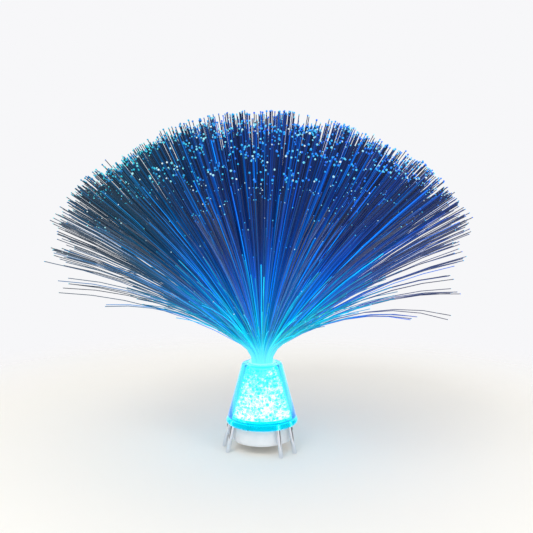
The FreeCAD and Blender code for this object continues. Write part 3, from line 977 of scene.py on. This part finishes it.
teal_stops = [
    (0.0, colour(120, 248, 255)),
    (0.10, colour(0, 205, 255)),
    (0.26, colour(0, 150, 235)),
    (0.44, colour(0, 116, 168)),
    (0.64, colour(0, 92, 114)),
    (0.80, colour(18, 66, 82)),
    (1.0, colour(34, 62, 76)),
]
fan_stops = [
    (0.0, colour(120, 248, 255)),
    (0.10, colour(0, 205, 255)),
    (0.26, colour(0, 152, 255)),
    (0.44, colour(0, 112, 238)),
    (0.64, colour(4, 74, 188)),
    (0.80, colour(18, 48, 124)),
    (1.0, colour(26, 46, 98)),
]
# Painted shade: these base colours stand for the dark backdrop seen through the clear fibres,
# lighter grey for the fibres that hang out of the fan.
navy_painted_shade = colour(26, 32, 46)
grey = colour(74, 78, 88)
fan_material = glowing_fibre("fan_fibre", navy_painted_shade, 0.12, 2.1, 0.25, fan_stops)
hanging_material = glowing_fibre("hanging_fibre", grey, 0.3, 1.6, 0.22, fan_stops)
lit_stops = [
    (0.0, colour(120, 250, 255)),
    (0.25, colour(0, 225, 255)),
    (0.65, colour(0, 175, 250)),
    (1.0, colour(20, 190, 235)),
]
lit_material = glowing_fibre("lit_fibre", navy_painted_shade, 0.8, 1.6, 0.19, lit_stops)
print("fibre materials", fan_material.name, hanging_material.name, lit_material.name)

# %% [markdown]
# The CAD bouquet is four pieces, one inside the other, from the upright core to the hanging
# edge. The fibres are shared out in the same way by how far they lean, so that each spray
# takes the place of one CAD piece. The short bright strands are an extra piece.

# %% Bouquet
core_edge = 22.5
inner_edge = 36
fan_limit = 90


def between(low, high):
    """The fan's fibres whose tips lie between two angles from upright, in degrees."""
    return [path for angle, path in fan if math.radians(low) <= angle < math.radians(high)]


lit_paths = [path for angle, path in lit_front]
zones = {
    "fibres_core": between(0, core_edge),
    "fibres_inner": between(core_edge, inner_edge),
    "fibres_middle": between(inner_edge, fan_limit),
    "fibres_outer": [path for angle, path in hanging],
}
for node, paths in zones.items():
    spray = fibre_mesh("spray_" + node, paths, fibre_radius)
    dress(spray, hanging_material if node == "fibres_outer" else fan_material)
    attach(spray, "bouquet")
    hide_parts(node)
    print(spray.name, len(paths), "fibres", len(spray.data.polygons), "faces")

lit_spray = fibre_mesh("spray_lit_fibres", lit_paths, fibre_radius)
dress(lit_spray, lit_material)
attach(lit_spray, "bouquet")
print(lit_spray.name, len(lit_paths), "fibres", len(lit_spray.data.polygons), "faces")

# %% [markdown]
# The cut end of each fibre is a point of light. A small faceted bead on every tip stands for
# the cut end and the halo that the eye sees round it. Most are blue or cyan, teal towards
# the left, and a few are almost white.

# %% Tips
clear_selection()
bpy.ops.mesh.primitive_ico_sphere_add(subdivisions=1, radius=1)
bead = bpy.context.object
bead_corners = [v.co.copy() for v in bead.data.vertices]
bead_faces = [tuple(p.vertices) for p in bead.data.polygons]
bpy.data.objects.remove(bead)

chance = random.Random(21)
bead_radius = 0.00072
top_band = 0.262
top_size = 1.15
low_size = 0.62
material, tree, shader = new_material("tip_light", Base_Color=colour(10, 30, 60), Roughness=0.3)
island = add_node(tree, "NewGeometry").outputs["Random Per Island"]
blue_tip = ramp(tree, island, [
    (0.0, colour(0, 90, 235)),
    (0.35, colour(0, 140, 255)),
    (0.65, colour(40, 190, 255)),
    (0.85, colour(120, 225, 255)),
    (1.0, colour(235, 250, 255)),
])
teal_tip = ramp(tree, island, [
    (0.0, colour(0, 110, 170)),
    (0.35, colour(0, 150, 165)),
    (0.65, colour(20, 205, 205)),
    (0.85, colour(120, 230, 225)),
    (1.0, colour(230, 250, 250)),
])
across = add_node(tree, "SeparateXYZ", {"Vector": add_node(tree, "TexCoord").outputs["Object"]})
left = remap(tree, across.outputs["X"], 0.0, -0.10, 0.0, 0.8)
hue = mix_colours(tree, left, blue_tip, teal_tip)
tree.links.new(hue, shader.inputs["Emission Color"])
shader.inputs["Emission Strength"].default_value = 1.0

for node, paths in [*zones.items(), ("lit_fibres", lit_paths)]:
    places = []
    for points in paths:
        tip = points[-1]
        band_size = top_size if tip.z > top_band else low_size
        size = bead_radius * chance.uniform(0.7, 1.3) * band_size
        places.append((0, tip, any_turn(chance), size))
    tips = scatter("tips_" + node, [(bead_corners, bead_faces)], places)
    dress(tips, material)
    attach(tips, "bouquet")
    if node in zones:
        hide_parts(node)
    print(tips.name, len(places))

# %% [markdown]
# The pieces that keep their CAD meshes get finishes of their own. The housing and its lid
# are pale moulded plastic, the switch is black, and the leads have red and black sleeves.
# Moulded plastic has a fine grain and uneven gloss, which come from noise.

# %% Moulded plastic
def moulded(name, shade, darker, low, high, grain=1400, depth=0.00003, **sockets):
    material, tree, shader = new_material(name, **sockets)
    tone = ramp(tree, object_noise(tree, 60, detail=3), [(0.3, darker), (0.7, shade)])
    tree.links.new(tone, shader.inputs["Base Color"])
    fine = object_noise(tree, grain, detail=2)
    vary_roughness(tree, shader, fine, low, high)
    add_bump(tree, shader, fine, 0.25, depth)
    return material


pale_plastic = moulded("pale_plastic", colour(236, 239, 242), colour(228, 232, 236), 0.32, 0.48)
black_plastic = moulded("black_plastic", colour(34, 34, 38), colour(24, 24, 27), 0.42, 0.6)
board_white = moulded("board_white", colour(236, 240, 238), colour(226, 232, 230), 0.35, 0.5)
red_sleeve = moulded("red_sleeve", colour(196, 26, 24), colour(172, 18, 18), 0.4, 0.55)
black_sleeve = moulded("black_sleeve", colour(26, 26, 28), colour(18, 18, 20), 0.4, 0.55)
for node in ("battery_housing", "battery_lid"):
    dress(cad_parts[node], pale_plastic)
for node in ("switch_body", "switch_knob", "series_resistors"):
    dress(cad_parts[node], black_plastic)
for node in ("lead_positive", "lead_switched"):
    dress(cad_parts[node], red_sleeve)
dress(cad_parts["lead_negative"], black_sleeve)
dress(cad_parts["led_board"], board_white)
print("plastics", pale_plastic.name, black_plastic.name, board_white.name)

# %% [markdown]
# The screws look like plated steel and the contacts like nickel, a little yellower. Neither
# is mirror bright, so a fine noise varies their gloss. The cells wear a plain dark sleeve.

# %% Metals and cells
def plated(name, shade, low, high):
    material, tree, shader = new_material(name, Base_Color=shade, Metallic=1.0)
    brushed = object_noise(tree, 700, detail=4, roughness=0.7)
    vary_roughness(tree, shader, brushed, low, high)
    add_bump(tree, shader, brushed, 0.08, 0.00005)
    return material


screw_steel = plated("screw_steel", colour(196, 198, 202), 0.22, 0.4)
nickel = plated("nickel", colour(212, 206, 190), 0.2, 0.38)
for node in ("lid_screws", "housing_screws", "led_board_screws"):
    dress(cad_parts[node], screw_steel)
for node in ("contact_plates", "contact_springs"):
    dress(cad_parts[node], nickel)

cell_sleeve = moulded("cell_sleeve", colour(74, 80, 90), colour(62, 68, 78), 0.25, 0.4)
for number in range(3):
    dress(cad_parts["battery_cell_%d" % (number + 1)], cell_sleeve)
print("metals", screw_steel.name, nickel.name)

# %% [markdown]
# The light source is seen through the chips, as the bright heart of the cone. The domes of
# the diodes, the white cup round them and the potted end of the bundle all glow.

# %% Light source
def glowing(name, shade, glow, strength, transmission=0.0, roughness=0.25):
    material, tree, shader = new_material(
        name, Base_Color=shade, Roughness=roughness, Transmission_Weight=transmission, IOR=1.49
    )
    soft = ramp(tree, object_noise(tree, 160, detail=2), [(0.2, glow), (0.8, colour(235, 255, 255))])
    tree.links.new(soft, shader.inputs["Emission Color"])
    shader.inputs["Emission Strength"].default_value = strength
    return material


lit_pieces = {
    "leds": glowing("lit_dome", colour(220, 250, 255), colour(120, 240, 255), 3.0),
    "reflector_cup": glowing("lit_cup", colour(240, 250, 252), colour(170, 248, 255), 1.2),
    "bundle_slug": glowing("potted_end", colour(180, 245, 255), colour(60, 225, 255), 1.0),
    "light_tube": glowing(
        "lit_tube", colour(225, 252, 255), colour(110, 240, 252), 0.85, 0.6, 0.15
    ),
    "fibre_ferrule": glowing(
        "lit_ferrule", colour(150, 225, 250), colour(40, 200, 255), 0.3, 0.3, 0.2
    ),
}
for node, material in lit_pieces.items():
    dress(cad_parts[node], material)
print("lit pieces", sorted(lit_pieces))
